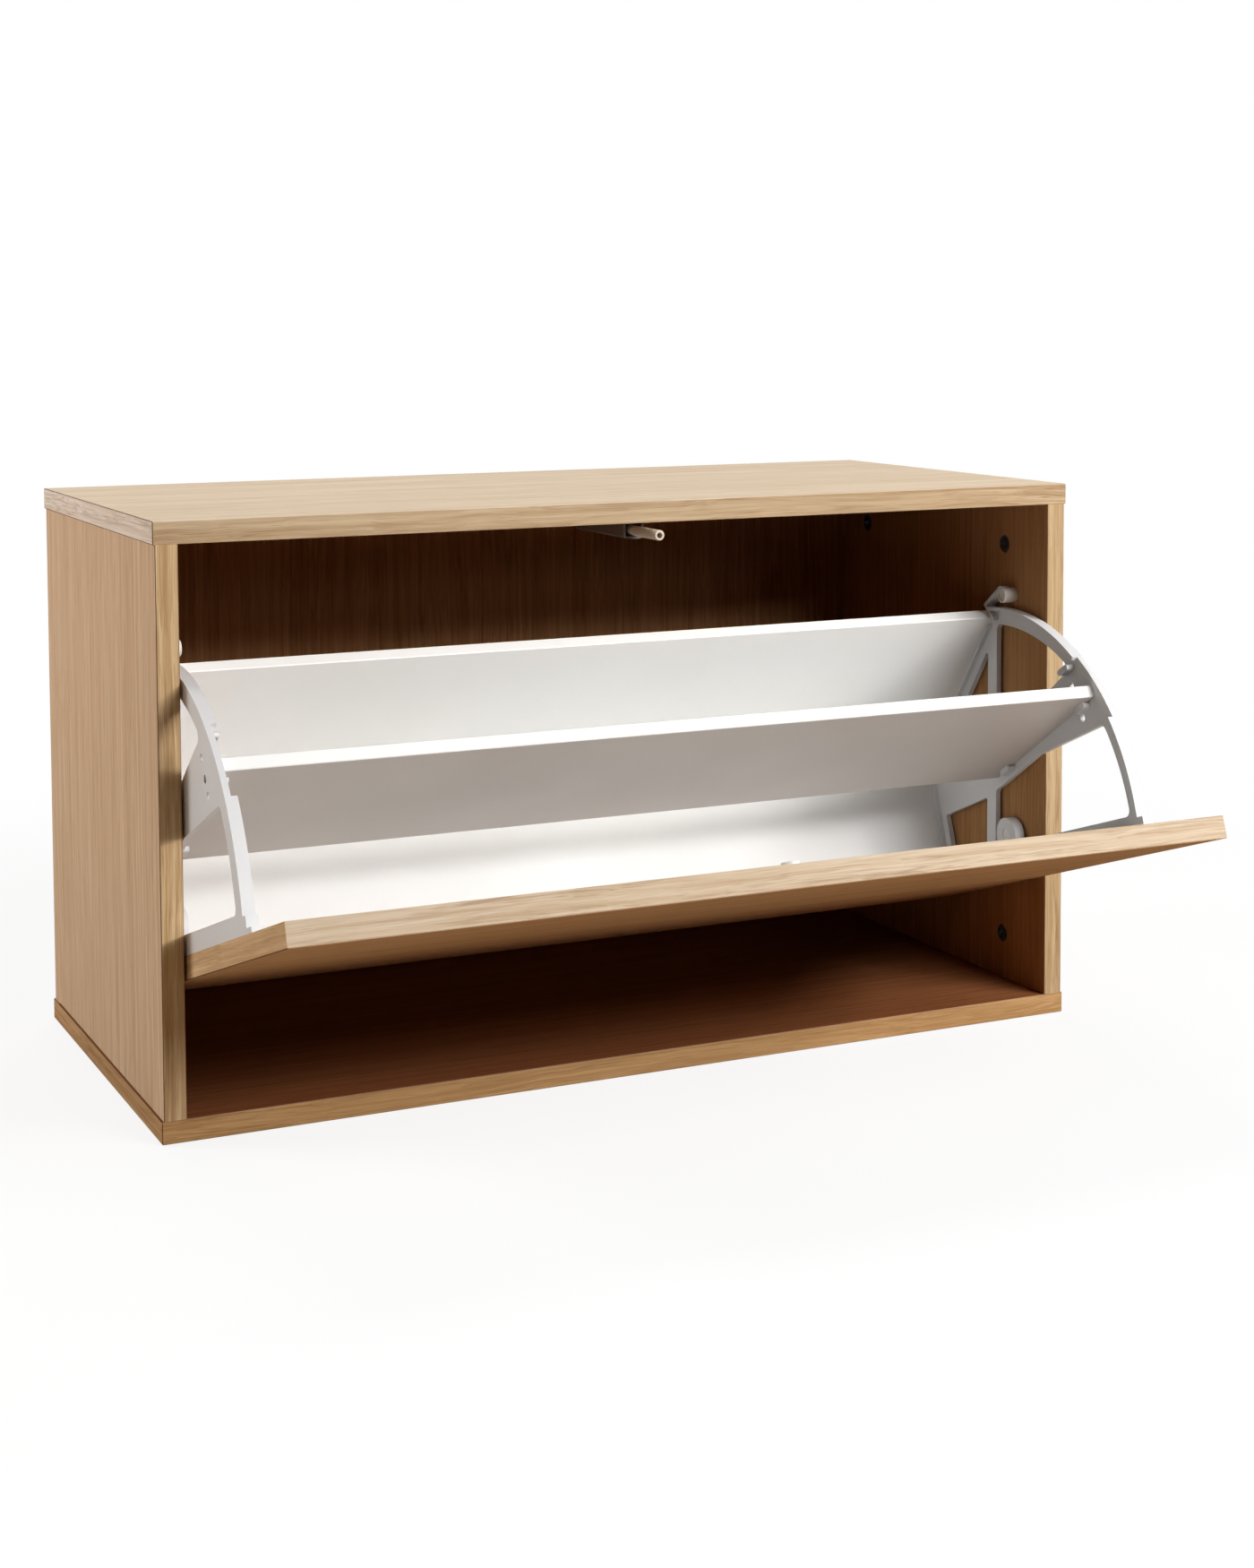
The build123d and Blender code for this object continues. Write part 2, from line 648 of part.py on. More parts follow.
right_bracket = bracket()
parts["right_bracket"], parts["left_bracket"] = [tip_open(side) for side in both(right_bracket)]

bracket_screws = [screw(seat, (0, -1, 0)) for seat in bracket_seats()]
bracket_screws += [mirror(one, about=Plane.YZ) for one in bracket_screws]
parts["bracket_screws"] = [tip_open(one) for one in bracket_screws]

# Dividers and their pegs


def pegs(play=0.0):
    """Pegs of both sides, from the bracket's outer face into the dividers' ends."""
    right = [
        across(peg_section(place, PEG_RADIUS + play), BRACKET_IN - PEG_IN_DIVIDER, BRACKET_OUT - PEG_SETBACK)
        for place in peg_places()
    ]
    return right + [mirror(one, about=Plane.YZ) for one in right]


def pinned_board(profile):
    """Board from bracket to bracket, drilled for its pegs."""
    board = across(profile, -BRACKET_IN, BRACKET_IN)
    board = chamfer(board.edges().filter_by(Axis.X), ARRIS)
    return board - pegs(HOLE_PLAY)


rear_profile = slab(REAR_START, REAR_ANGLE, 0.0, DIVIDER, REAR_LENGTH)
middle_profile = slab(MIDDLE_START, MIDDLE_ANGLE, 0.0, DIVIDER, MIDDLE_LENGTH)
floor_profile = Polygon(
    (FLAP_IN, FLOOR_TOP), (FLAP_IN, FLOOR_TOP - DIVIDER),
    (floor_end(FLOOR_TOP - DIVIDER), FLOOR_TOP - DIVIDER), (floor_end(FLOOR_TOP), FLOOR_TOP), align=None,
)
parts["rear_divider"] = tip_open(pinned_board(rear_profile))
parts["middle_divider"] = tip_open(pinned_board(middle_profile))
parts["floor_board"] = tip_open(pinned_board(floor_profile))
parts["divider_pegs"] = [tip_open(one) for one in pegs()]

# Flap board, its white inner face and the strike disc


def strike_disc():
    seat = Vector(0, FLAP_IN, FLAP_TOP - STRIKE_FROM_TOP)
    disc = rod(seat, seat + Vector(0, STRIKE_THICKNESS, 0), STRIKE_RADIUS)
    return chamfer(disc.edges().sort_by(Axis.Y)[-1], STRIKE_EDGE)


def flap_screw_holes():
    """Pilot holes of the bracket screws in the flap."""
    right = [screw_hole(seat, (0, -1, 0)) for seat in bracket_seats()]
    return right + [mirror(one, about=Plane.YZ) for one in right]


laminate = block(
    -FLAP_HALF + LIPPING, FLAP_HALF - LIPPING, FLAP_IN - LAMINATE, FLAP_IN,
    FLAP_BOTTOM + LIPPING, FLAP_TOP - LIPPING,
)
flap = block(-FLAP_HALF, FLAP_HALF, FLAP_OUT, FLAP_IN, FLAP_BOTTOM, FLAP_TOP)
flap = chamfer(flap.faces().sort_by(Axis.Y)[0].edges(), ARRIS)
parts["flap_panel"] = tip_open(flap - laminate - flap_screw_holes())
parts["flap_laminate"] = tip_open(laminate - flap_screw_holes())
parts["strike_disc"] = tip_open(strike_disc())

os.makedirs("parts", exist_ok=True)
for name, shape in parts.items():
    if isinstance(shape, list):
        shape = Compound(children=[one.solid() for one in shape])
    export_step(shape, f"parts/{name}.step")
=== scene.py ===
"""Looks of the shoe cabinet: oak boards, white inner boards, moulded brackets and a push latch."""

import json
from math import cos, radians, sin

import bpy
from mathutils import Matrix, Vector


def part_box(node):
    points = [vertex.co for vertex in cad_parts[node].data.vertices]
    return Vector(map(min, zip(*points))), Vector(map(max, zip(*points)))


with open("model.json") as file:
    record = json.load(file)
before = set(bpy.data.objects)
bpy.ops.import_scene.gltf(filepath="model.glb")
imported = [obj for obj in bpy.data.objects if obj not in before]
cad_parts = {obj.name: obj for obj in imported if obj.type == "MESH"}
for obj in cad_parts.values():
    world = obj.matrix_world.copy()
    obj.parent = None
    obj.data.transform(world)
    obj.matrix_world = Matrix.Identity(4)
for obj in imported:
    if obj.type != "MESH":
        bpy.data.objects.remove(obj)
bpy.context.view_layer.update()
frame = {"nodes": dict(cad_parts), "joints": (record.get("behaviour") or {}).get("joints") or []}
nodes = frame["nodes"]

OPEN_ANGLE = radians(frame["joints"][0]["range_deg"][1])
BACK_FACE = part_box("back_panel")[0][1]

# Directions in the part's frame, with the flap open
FRONT = (0.0, -1.0, 0.0)
LEFT = (-1.0, 0.0, 0.0)
RIGHT = (1.0, 0.0, 0.0)
UP = (0.0, 0.0, 1.0)
DOWN = (0.0, 0.0, -1.0)
FLAP_FRONT = (0.0, -cos(OPEN_ANGLE), -sin(OPEN_ANGLE))
FLAP_EDGE = (0.0, -sin(OPEN_ANGLE), cos(OPEN_ANGLE))
DIVIDER_UNDERSIDE = (0.0, -0.545, -0.838)

# Camera, in metres and degrees, with its sensor in millimetres and the 1400 x 1750 image in pixels
IMAGE_HEIGHT = 1750.0
SENSOR = 36.0
CAMERA_PLACE = Vector((-0.81099, -1.86665, 0.58974))
CAMERA_YAW = 25.13
CAMERA_PITCH = -3.86
CAMERA_ROLL = -0.2325
FOCAL_PIXELS = 2781.97
AXIS_ROW = 525.0  # row of the image that the camera's axis meets


def srgb(red, green, blue):
    """Linear colour with alpha, from 8-bit display values."""
    linear = []
    for value in (red, green, blue):
        share = value / 255
        linear.append(share / 12.92 if share <= 0.04045 else ((share + 0.055) / 1.055) ** 2.4)
    return (*linear, 1.0)


class Shader:
    """A node tree of a material or a world, whose nodes are added and wired one line at a time."""

    def __init__(self, owner, output="OutputMaterial"):
        owner.use_nodes = True
        self.owner = owner
        self.output = output
        self.tree = owner.node_tree
        self.tree.nodes.clear()

    def add(self, kind, inputs=None, **settings):
        """New node, each of whose inputs is wired to a socket or set to a value."""
        node = self.tree.nodes.new("ShaderNode" + kind)
        for key, value in settings.items():
            setattr(node, key, value)
        for key, value in (inputs or {}).items():
            if isinstance(value, bpy.types.NodeSocket):
                self.tree.links.new(value, node.inputs[key])
            else:
                node.inputs[key].default_value = value
        return node

    def math(self, operation, first, second=0.0, third=0.0):
        return self.add("Math", {0: first, 1: second, 2: third}, operation=operation).outputs[0]

    def remap(self, value, low, high, to_low=0.0, to_high=1.0, smooth=False):
        """Value between two limits, carried to two others and held there."""
        inputs = {"Value": value, "From Min": low, "From Max": high, "To Min": to_low, "To Max": to_high}
        kind = "SMOOTHSTEP" if smooth else "LINEAR"
        return self.add("MapRange", inputs, interpolation_type=kind).outputs["Result"]

    def noise(self, vector, scale, detail=2.0, roughness=0.5):
        inputs = {"Vector": vector, "Scale": scale, "Detail": detail, "Roughness": roughness}
        return self.add("TexNoise", inputs).outputs["Fac"]

    def stretched_noise(self, vector, scale, detail=2.0, roughness=0.5):
        """Noise with a scale of its own along each axis."""
        stretched = self.add("Mapping", {"Vector": vector, "Scale": scale}).outputs["Vector"]
        return self.noise(stretched, 1.0, detail, roughness)

    def shift(self, vector, step):
        return self.add("VectorMath", {0: vector, 1: step}, operation="ADD").outputs["Vector"]

    def blend(self, factor, first, second, mode="MIX"):
        """Colour mixed from two. The Mix node has its colours in sockets 6 and 7."""
        inputs = {0: factor, 6: first, 7: second}
        return self.add("Mix", inputs, data_type="RGBA", blend_type=mode).outputs[2]

    def blend_vector(self, factor, first, second):
        """Vector mixed from two. The Mix node has its vectors in sockets 4 and 5."""
        inputs = {0: factor, 4: first, 5: second}
        return self.add("Mix", inputs, data_type="VECTOR").outputs[1]

    def mix_shaders(self, factor, first, second):
        return self.add("MixShader", {0: factor, 1: first, 2: second}).outputs[0]

    def bump(self, height, strength, distance):
        inputs = {"Height": height, "Strength": strength, "Distance": distance}
        return self.add("Bump", inputs).outputs["Normal"]

    def finish(self, surface):
        self.add(self.output, {"Surface": surface})
        return self.owner

    def principled(self, inputs):
        return self.finish(self.add("BsdfPrincipled", inputs).outputs["BSDF"])


def across_width(shader):
    """How far a face's normal points along the width, from 0 to 1."""
    normal = shader.add("NewGeometry").outputs["True Normal"]
    x = shader.add("SeparateXYZ", {"Vector": normal}).outputs["X"]
    return shader.math("ABSOLUTE", x)


def facing(shader, direction):
    """How far a face of the part looks in one direction, from -1 to 1, with the part in its stored pose."""
    normal = shader.add("NewGeometry").outputs["True Normal"]
    own = {"vector_type": "NORMAL", "convert_from": "WORLD", "convert_to": "OBJECT"}
    turned = shader.add("VectorTransform", {"Vector": normal}, **own).outputs["Vector"]
    return shader.add("VectorMath", {0: turned, 1: direction}, operation="DOT_PRODUCT").outputs["Value"]


# Oak: pale, middle and dark colours of the veneers and of the bands on edges and ends
VENEER = (srgb(211, 185, 155), srgb(196, 168, 136), srgb(174, 142, 108))
# Top: partly the veneer's own tone and partly a painted sheen, paler and greyer than the other veneers
TOP_SHEEN_VENEER = (srgb(221, 205, 183), srgb(206, 188, 163), srgb(185, 162, 133))
# Sides: lighter than the other veneers as painted light on the left side, which the right side shares
SIDE_LIT_VENEER = (srgb(226, 199, 170), srgb(209, 180, 148), srgb(185, 151, 115))
EDGE_BAND = (srgb(194, 171, 137), srgb(178, 153, 117), srgb(146, 115, 78))
# Left front edge: the same band as the right's, made lighter as painted light
LEFT_LIT_BAND = (srgb(211, 186, 148), srgb(195, 167, 127), srgb(160, 126, 84))
TOP_BAND = (srgb(193, 173, 144), srgb(179, 156, 125), srgb(147, 119, 85))
# Top's ends: made paler as painted light from the left
TOP_LIT_END = (srgb(243, 233, 223), srgb(236, 223, 210), srgb(212, 191, 171))
FLAP_BAND = (srgb(208, 193, 173), srgb(200, 184, 162), srgb(179, 156, 128))
# Flap's ends: made lighter as painted light from the left
FLAP_LIT_END = (srgb(229, 198, 156), srgb(214, 180, 139), srgb(172, 138, 101))
BASE_BAND = (srgb(200, 163, 117), srgb(186, 148, 102), srgb(150, 112, 70))
BASE_END = (srgb(212, 176, 134), srgb(198, 160, 118), srgb(162, 124, 84))

# Oak: colours of the pores and the bevelled corners, and painted shade that the colour of the cabinet's
# inner faces and of the open flap's underside is multiplied by
OAK_PORE = srgb(122, 84, 50)
OAK_CORNER = srgb(92, 62, 38)
BACK_SHADE = srgb(246, 210, 186)
SIDE_SHADE = srgb(211, 184, 155)
BASE_SHADE = srgb(170, 128, 103)
FLAP_FRONT_SHADE = srgb(254, 249, 242)

# Oak: each pattern's fineness per metre along the grain and across it, and its noise's detail and roughness
FLITCH = (0.5, 7.0, 2.0, 0.5)
STREAK = (1.1, 46.0, 3.0, 0.6)
LINE = (4.0, 300.0, 4.0, 0.75)
VESSEL = (22.0, 1500.0, 2.0, 0.5)
RING = (6.0, 210.0, 2.0, 0.5)
PORE_ZONE = (3.0, 90.0, 2.0, 0.5)
WIDE_BEND = (1.6, 5.0, 2.0, 0.5)
FINE_BEND = (13.0, 30.0, 2.0, 0.5)
WIDE_BEND_REACH = 0.014  # metres to either side
FINE_BEND_REACH = 0.0022
SEED_STEP = (1.7, 0.93, 2.3)  # metres between the patterns of two boards

# Span of a noise's values, which lie round 0.5, that each pattern is read over
NOISE_SPAN = (0.3, 0.7)
NOISE_MIDDLE = 0.5
LINE_SPAN = (0.36, 0.64)
FLITCH_SPAN = (0.25, 0.75)
VESSEL_SPAN = (0.54, 0.68)
PORE_ZONE_SPAN = (0.36, 0.60)
SPECK_SPAN = (0.45, 0.75)

# Oak: how strong each pattern is
LINE_SHARE = 0.7  # the streaks have the rest of the tone
FLITCH_EVENNESS = 0.45
RING_WIDTH = 0.05
RING_STRENGTH = 0.8
PORE_ZONE_STRENGTH = (0.2, 1.0)
FACE_PORES = 0.22
EDGE_PORES = 0.55
END_PORES = 0.45
CORNER_STRENGTH = 0.75
PORE_RELIEF = -0.7
LINE_RELIEF = 0.4
OAK_BUMP = 0.22
OAK_BUMP_DISTANCE = 0.0004
OAK_ROUGHNESS = (0.72, 0.62)
OILED = 0.06  # gloss of the boards that are mostly seen from outside
MATT = 0.0

# Oak: cosines from which a face starts to count as one of its kind, and counts in full
END_FACE = (0.80, 0.95)
EDGE_FACE = (0.70, 0.90)
INNER_FACE = (0.5, 0.9)
CORNER_START = (0.45, 0.60)
CORNER_STOP = (0.85, 0.95)

# The painted shade fades out between these places, just behind the back panel's inner face
SHADE_STOP = (BACK_FACE + 0.001, BACK_FACE + 0.003)

# Axis along the grain first, and then the two across it
GRAIN_ORDER = {"X": "XYZ", "Y": "YXZ", "Z": "ZXY"}


def oak(name, grain, seed, face=VENEER, tilt=0.0, inside_shade=None, ends=None, edge=(FRONT, EDGE_BAND),
        specular=MATT):
    """Oak veneer with the grain along one axis.

    Face gives the colours of the veneer. Tilt turns the pattern back round the width for a board that is
    stored tipped. Inside shade is the direction of a face and the colour of painted shade that it is
    multiplied by, as far back as the back panel. Ends gives the grain and the colours of a band on the two
    ends across the width, and edge the direction and the colours of a band along an edge.
    """
    s = Shader(bpy.data.materials.new(name))
    place = s.add("TexCoord").outputs["Object"]
    if tilt:
        turn = {"Vector": place, "Angle": -tilt}
        place = s.add("VectorRotate", turn, rotation_type="X_AXIS").outputs["Vector"]
    axes = s.add("SeparateXYZ", {"Vector": place}).outputs

    def along(axis):
        picked = {i: axes[letter] for i, letter in enumerate(GRAIN_ORDER[axis])}
        return s.add("CombineXYZ", picked).outputs["Vector"]

    def pattern(vector, settings):
        lengthwise, across, detail, roughness = settings
        return s.stretched_noise(vector, (lengthwise, across, across), detail, roughness)

    def bend(vector, settings, reach):
        wave = s.math("MULTIPLY_ADD", pattern(vector, settings), 2 * reach, -reach)
        return s.shift(vector, s.add("CombineXYZ", {1: wave, 2: wave}).outputs["Vector"])

    sideways = across_width(s)
    end_face = s.remap(sideways, *END_FACE)
    edge_face = s.remap(facing(s, edge[0]), *EDGE_FACE)
    vector = along(grain)
    if ends:
        vector = s.blend_vector(end_face, vector, along(ends[0]))
    vector = s.shift(vector, [seed * step for step in SEED_STEP])
    bent = bend(bend(vector, WIDE_BEND, WIDE_BEND_REACH), FINE_BEND, FINE_BEND_REACH)

    # Light and dark figure
    line = pattern(bent, LINE)
    streak = s.remap(pattern(bent, STREAK), *NOISE_SPAN)
    streak_tone = s.math("MULTIPLY", streak, 1 - LINE_SHARE)
    tone = s.math("MULTIPLY_ADD", s.remap(line, *LINE_SPAN), LINE_SHARE, streak_tone)
    even = s.remap(pattern(bent, FLITCH), *FLITCH_SPAN, 0.0, FLITCH_EVENNESS)

    # Pores, as short vessels and along the growth rings
    off_ring = s.math("ABSOLUTE", s.math("SUBTRACT", pattern(bent, RING), NOISE_MIDDLE))
    ring = s.math("MULTIPLY", s.remap(off_ring, 0.0, RING_WIDTH, 1.0, 0.0), RING_STRENGTH)
    pore = s.math("MAXIMUM", s.remap(pattern(bent, VESSEL), *VESSEL_SPAN), ring)
    zone = s.remap(pattern(bent, PORE_ZONE), *PORE_ZONE_SPAN, *PORE_ZONE_STRENGTH)
    pore = s.math("MULTIPLY", pore, zone)

    def tinted(palette):
        pale, middle, dark = palette
        return s.blend(even, s.blend(tone, dark, pale), middle)

    colour = s.blend(edge_face, tinted(face), tinted(edge[1]))
    pore_depth = s.remap(edge_face, 0.0, 1.0, FACE_PORES, EDGE_PORES)
    if ends:
        colour = s.blend(end_face, colour, tinted(ends[1]))
        pore_depth = s.math("MAXIMUM", pore_depth, s.math("MULTIPLY", end_face, END_PORES))
    colour = s.blend(s.math("MULTIPLY", pore, pore_depth), colour, OAK_PORE)
    corner = s.math("MULTIPLY", s.remap(sideways, *CORNER_START), s.remap(sideways, *CORNER_STOP, 1.0, 0.0))
    colour = s.blend(s.math("MULTIPLY", corner, CORNER_STRENGTH), colour, OAK_CORNER)
    # Painted shade: faces that look the given way are darkened by its colour, in front of the back panel
    if inside_shade:
        in_front = s.remap(axes["Y"], *SHADE_STOP, 1.0, 0.0)
        inner = s.math("MULTIPLY", s.remap(facing(s, inside_shade[0]), *INNER_FACE), in_front)
        colour = s.blend(inner, colour, inside_shade[1], "MULTIPLY")

    height = s.math("MULTIPLY_ADD", pore, PORE_RELIEF, s.math("MULTIPLY", line, LINE_RELIEF))
    return s.principled({
        "Base Color": colour,
        "Roughness": s.remap(line, *NOISE_SPAN, *OAK_ROUGHNESS),
        "Specular IOR Level": specular,
        "Normal": s.bump(height, OAK_BUMP, OAK_BUMP_DISTANCE),
    })


# White boards and plastics
CLOUD = (9.0, 3.0, 0.55)  # fineness per metre, detail and roughness of the noise
CLOUD_SHADE = 0.55
SPECK = (2.0, 0.6)  # detail and roughness of the noise
SPECK_SHADE = 0.35
BOARD_GRAIN = 900.0  # specks per metre
BOARD_BUMP = 0.05
COATED_BUMP_DISTANCE = 0.0002
COATED_SPREAD = (-0.05, 0.06)  # either side of the roughness
COATED_GLOSS = 0.4
# Painted shade on faces that look one way, such as the middle divider's underside
SHADED_FACE = (0.6, 0.9)  # cosines, as for the oak


def coated(name, colour, shade, roughness, grain=BOARD_GRAIN, bump=BOARD_BUMP, specular=COATED_GLOSS,
           underside_shade=None):
    """Even, slightly mottled surface with a fine moulded or rolled texture.

    Underside shade gives the direction of a face that is darkened as painted shade, and the colour that
    it is multiplied by.
    """
    s = Shader(bpy.data.materials.new(name))
    place = s.add("TexCoord").outputs["Object"]
    cloud = s.noise(place, *CLOUD)
    speck = s.noise(place, grain, *SPECK)
    mixed = s.blend(s.remap(cloud, *NOISE_SPAN, 0.0, CLOUD_SHADE), colour, shade)
    mixed = s.blend(s.remap(speck, *SPECK_SPAN, 0.0, SPECK_SHADE), mixed, shade)
    # Painted shade: faces that look the given way are multiplied by its colour
    if underside_shade:
        mixed = s.blend(s.remap(facing(s, underside_shade[0]), *SHADED_FACE), mixed, underside_shade[1], "MULTIPLY")
    return s.principled({
        "Base Color": mixed,
        "Roughness": s.remap(cloud, *NOISE_SPAN, *(roughness + spread for spread in COATED_SPREAD)),
        "Specular IOR Level": specular,
        "Normal": s.bump(speck, bump, COATED_BUMP_DISTANCE),
    })


# Metals
SKIN = (240.0, 3.0, 0.6)  # fineness per metre, detail and roughness of the noise
SCRATCHES = (300.0, 4000.0, 900.0)  # per metre along each axis
SCRATCH_BUMP = 0.15
SCRATCH_BUMP_DISTANCE = 0.0001
METAL_SPREAD = (-0.08, 0.1)  # either side of the roughness


def metal(name, colour, shade, roughness):
    """Plated metal with fine scratches and a matt, uneven skin."""
    s = Shader(bpy.data.materials.new(name))
    place = s.add("TexCoord").outputs["Object"]
    skin = s.noise(place, *SKIN)
    scratch = s.stretched_noise(place, SCRATCHES)
    return s.principled({
        "Base Color": s.blend(s.remap(skin, *NOISE_SPAN), colour, shade),
        "Metallic": 1.0,
        "Roughness": s.remap(scratch, *NOISE_SPAN, *(roughness + spread for spread in METAL_SPREAD)),
        "Normal": s.bump(scratch, SCRATCH_BUMP, SCRATCH_BUMP_DISTANCE),
    })


# Each piece's material
# Painted shade on the inner faces of the cabinet and on the open flap's underside
top_oak = oak("oak_top", "X", 0.0, TOP_SHEEN_VENEER, inside_shade=(DOWN, BACK_SHADE), ends=("Y", TOP_LIT_END),
              edge=(FRONT, TOP_BAND), specular=OILED)
bottom_oak = oak("oak_bottom", "X", 1.0, inside_shade=(UP, BASE_SHADE), ends=("Y", BASE_END),
                 edge=(FRONT, BASE_BAND))
left_oak = oak("oak_left_side", "Z", 2.0, SIDE_LIT_VENEER, inside_shade=(RIGHT, SIDE_SHADE),
               edge=(FRONT, LEFT_LIT_BAND), specular=OILED)
right_oak = oak("oak_right_side", "Z", 3.0, SIDE_LIT_VENEER, inside_shade=(LEFT, SIDE_SHADE))
back_oak = oak("oak_back", "Z", 4.0, inside_shade=(FRONT, BACK_SHADE))
flap_oak = oak("oak_flap", "X", 5.0, tilt=OPEN_ANGLE, inside_shade=(FLAP_FRONT, FLAP_FRONT_SHADE),
               ends=("Z", FLAP_LIT_END), edge=(FLAP_EDGE, FLAP_BAND))
beech = oak("beech", "Z", 6.0)

white_board = coated("white_board", srgb(246, 246, 244), srgb(240, 239, 236), 0.42)
# Floor board: the same white board as the rear divider, made darker as painted shade
floor_board_shaded = coated("floor_board_shaded", srgb(222, 220, 218), srgb(216, 213, 210), 0.42, specular=0.2)
# Middle divider: its underside is darkened as painted shade
middle_board = coated("middle_board", srgb(234, 234, 233), srgb(228, 227, 225), 0.46, specular=0.3,
                      underside_shade=(DIVIDER_UNDERSIDE, srgb(220, 212, 207)))
white_laminate = coated("white_laminate", srgb(240, 239, 236), srgb(231, 229, 225), 0.40)
bracket_plastic = coated("bracket_plastic", srgb(214, 214, 215), srgb(204, 203, 203), 0.50,
                         grain=1500.0, bump=0.10, specular=0.3)
pin_plastic = coated("pin_plastic", srgb(226, 223, 217), srgb(212, 208, 201), 0.40, grain=1800.0, bump=0.08)
latch_plastic = coated("latch_plastic", srgb(98, 86, 76), srgb(84, 73, 64), 0.42, grain=1800.0, bump=0.12)
plunger_plastic = coated("plunger_plastic", srgb(206, 193, 176), srgb(190, 176, 158), 0.38,
                         grain=1800.0, bump=0.06)
zinc = metal("zinc", srgb(118, 117, 118), srgb(88, 87, 88), 0.45)
steel = metal("steel", srgb(196, 196, 198), srgb(168, 168, 171), 0.32)

FINISHES = {
    "top_panel": top_oak,
    "bottom_panel": bottom_oak,
    "left_side_panel": left_oak,
    "right_side_panel": right_oak,
    "back_panel": back_oak,
    "flap_panel": flap_oak,
    "flap_laminate": white_laminate,
    "middle_divider": middle_board,
    "rear_divider": white_board,
    "floor_board": floor_board_shaded,
    "left_bracket": bracket_plastic,
    "right_bracket": bracket_plastic,
    "divider_pegs": bracket_plastic,
    "left_stop_pin": pin_plastic,
    "right_stop_pin": pin_plastic,
    "left_pivot_pin": pin_plastic,
    "right_pivot_pin": pin_plastic,
    "strike_disc": pin_plastic,
    "latch_housing": latch_plastic,
    "latch_plunger": plunger_plastic,
    "cam_locks": zinc,
    "cam_bolts": steel,
    "latch_screws": steel,
    "bracket_screws": steel,
    "dowels": beech,
}
for name, material in FINISHES.items():
    for slot in nodes[name].material_slots:
        slot.material = material


# Floor, world, lamps and camera
WHITE = (1.0, 1.0, 1.0, 1.0)
FLOOR_SIZE = 24.0
FLOOR_DROP = 0.0005  # keeps the floor clear of the cabinet's underside
FLOOR_CLEAR = (0.65, 1.25)  # beyond this distance the floor is plain white
FLOOR_SHADED = (0.86, 0.86, 0.86, 1.0)
FLOOR_BOUNCE = (0.40, 0.29, 0.20, 1.0)  # what the cabinet is lit by from below
SHADOW_STRENGTH = 0.16
AMBIENT = 0.01
AIM = Vector((0.0, -0.1, 0.22))
LAMP_DISTANCE = 3.0
NEUTRAL = (1.0, 1.0, 1.0)
COOL = (0.97, 0.985, 1.0)
WARM = (1.0, 0.985, 0.96)
IVORY = (1.0, 0.98, 0.965)
AMBER = (1.0, 0.88, 0.72)


def seen_directly(shader):
    """1 for rays from the camera, from gloss or through glass, and 0 for light on the object."""
    rays = shader.add("LightPath").outputs
    gloss = shader.math("MAXIMUM", rays["Is Camera Ray"], rays["Is Glossy Ray"])
    return shader.math("MAXIMUM", gloss, rays["Is Transmission Ray"])


def floor_material():
    """Pale floor that shows as white away from the object and keeps its soft shadow."""
    s = Shader(bpy.data.materials.new("floor"))
    place = s.add("TexCoord").outputs["Object"]
    distance = s.add("VectorMath", {0: place}, operation="LENGTH").outputs["Value"]
    clear = s.remap(distance, *FLOOR_CLEAR, smooth=True)
    glow = s.add("Emission", {"Color": WHITE, "Strength": 1.0}).outputs[0]
    shaded = s.add("BsdfDiffuse", {"Color": FLOOR_SHADED}).outputs[0]
    shown = s.mix_shaders(clear, s.mix_shaders(SHADOW_STRENGTH, glow, shaded), glow)
    bounce = s.add("BsdfDiffuse", {"Color": FLOOR_BOUNCE}).outputs[0]
    return s.finish(s.mix_shaders(seen_directly(s), bounce, shown))


def add_floor():
    half = FLOOR_SIZE / 2
    mesh = bpy.data.meshes.new("floor")
    corners = [(-half, -half, 0.0), (half, -half, 0.0), (half, half, 0.0), (-half, half, 0.0)]
    mesh.from_pydata(corners, [], [(0, 1, 2, 3)])
    mesh.materials.append(floor_material())
    floor = bpy.data.objects.new("floor", mesh)
    floor.location.z = -FLOOR_DROP
    bpy.context.scene.collection.objects.link(floor)


def set_world():
    """White behind the object, and a faint even light on it."""
    s = Shader(bpy.data.worlds.new("studio"), "OutputWorld")
    ambient = s.add("Background", {"Color": WHITE, "Strength": AMBIENT}).outputs[0]
    white = s.add("Background", {"Color": WHITE, "Strength": 1.0}).outputs[0]
    bpy.context.scene.world = s.finish(s.mix_shaders(seen_directly(s), ambient, white))


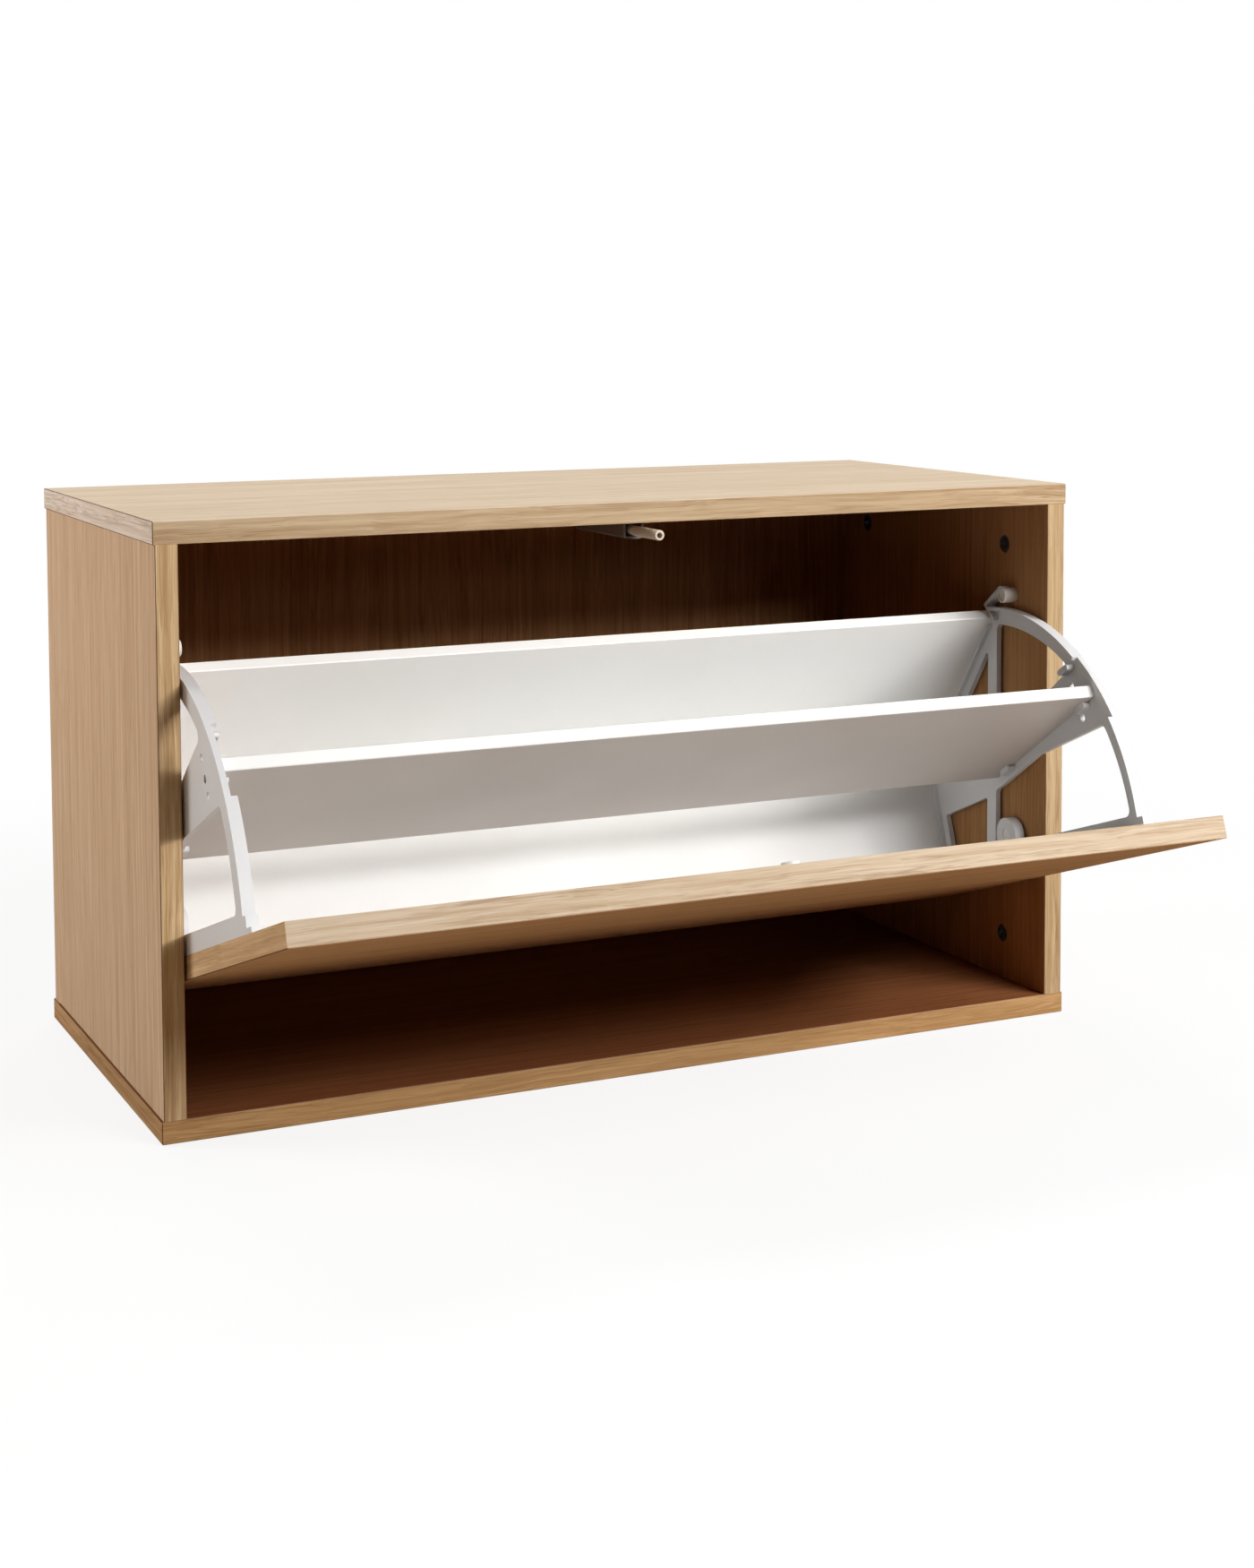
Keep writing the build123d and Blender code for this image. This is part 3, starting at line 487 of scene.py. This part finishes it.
def add_light(name, azimuth, elevation, size, power, colour=NEUTRAL):
    """Soft lamp aimed at the cabinet, with its angles in degrees, size in metres and power in watts.

    Azimuth 0 is in front, and 90 to the right.
    """
    turn, rise = radians(azimuth), radians(elevation)
    towards = Vector((sin(turn) * cos(rise), -cos(turn) * cos(rise), sin(rise)))
    light = bpy.data.lights.new(name, "AREA")
    light.shape = "RECTANGLE"
    light.size, light.size_y = size
    light.energy = power
    light.color = colour
    lamp = bpy.data.objects.new(name, light)
    lamp.location = AIM + LAMP_DISTANCE * towards
    lamp.rotation_euler = (-towards).to_track_quat("-Z", "Y").to_euler()
    bpy.context.scene.collection.objects.link(lamp)


def add_camera():
    """Camera at the photograph's place, aimed by yaw, pitch and roll."""
    yaw, pitch, roll = radians(CAMERA_YAW), radians(CAMERA_PITCH), radians(CAMERA_ROLL)
    forward = Vector((sin(yaw) * cos(pitch), cos(yaw) * cos(pitch), sin(pitch)))
    level = Vector((cos(yaw), -sin(yaw), 0.0))
    upright = level.cross(forward)
    right = cos(roll) * level + sin(roll) * upright
    up = cos(roll) * upright - sin(roll) * level
    data = bpy.data.cameras.new("camera")
    data.sensor_fit = "AUTO"
    data.sensor_width = SENSOR
    data.lens = SENSOR * FOCAL_PIXELS / IMAGE_HEIGHT
    data.shift_y = -(IMAGE_HEIGHT / 2 - AXIS_ROW) / IMAGE_HEIGHT
    camera = bpy.data.objects.new("camera", data)
    turn = Matrix((right, up, -forward)).transposed().to_4x4()
    camera.matrix_world = Matrix.Translation(CAMERA_PLACE) @ turn
    bpy.context.scene.collection.objects.link(camera)
    bpy.context.scene.camera = camera


add_floor()
set_world()
add_light("key", 24.0, 25.0, (1.3, 0.42), 55.0, COOL)
add_light("right_low", 46.0, 25.0, (1.2, 0.42), 55.0, WARM)
add_light("right_top", 40.0, 42.0, (1.2, 0.6), 14.0)
add_light("low", 28.0, 13.0, (1.0, 0.25), 3.5)
add_light("left_front", -72.0, 30.0, (1.0, 0.6), 4.0, AMBER)
add_light("left_side", -117.0, 27.0, (1.1, 0.9), 48.0, IVORY)
add_light("rear_top", 180.0, 60.0, (1.6, 0.9), 34.0)
add_camera()
bpy.context.scene.view_settings.view_transform = "Standard"
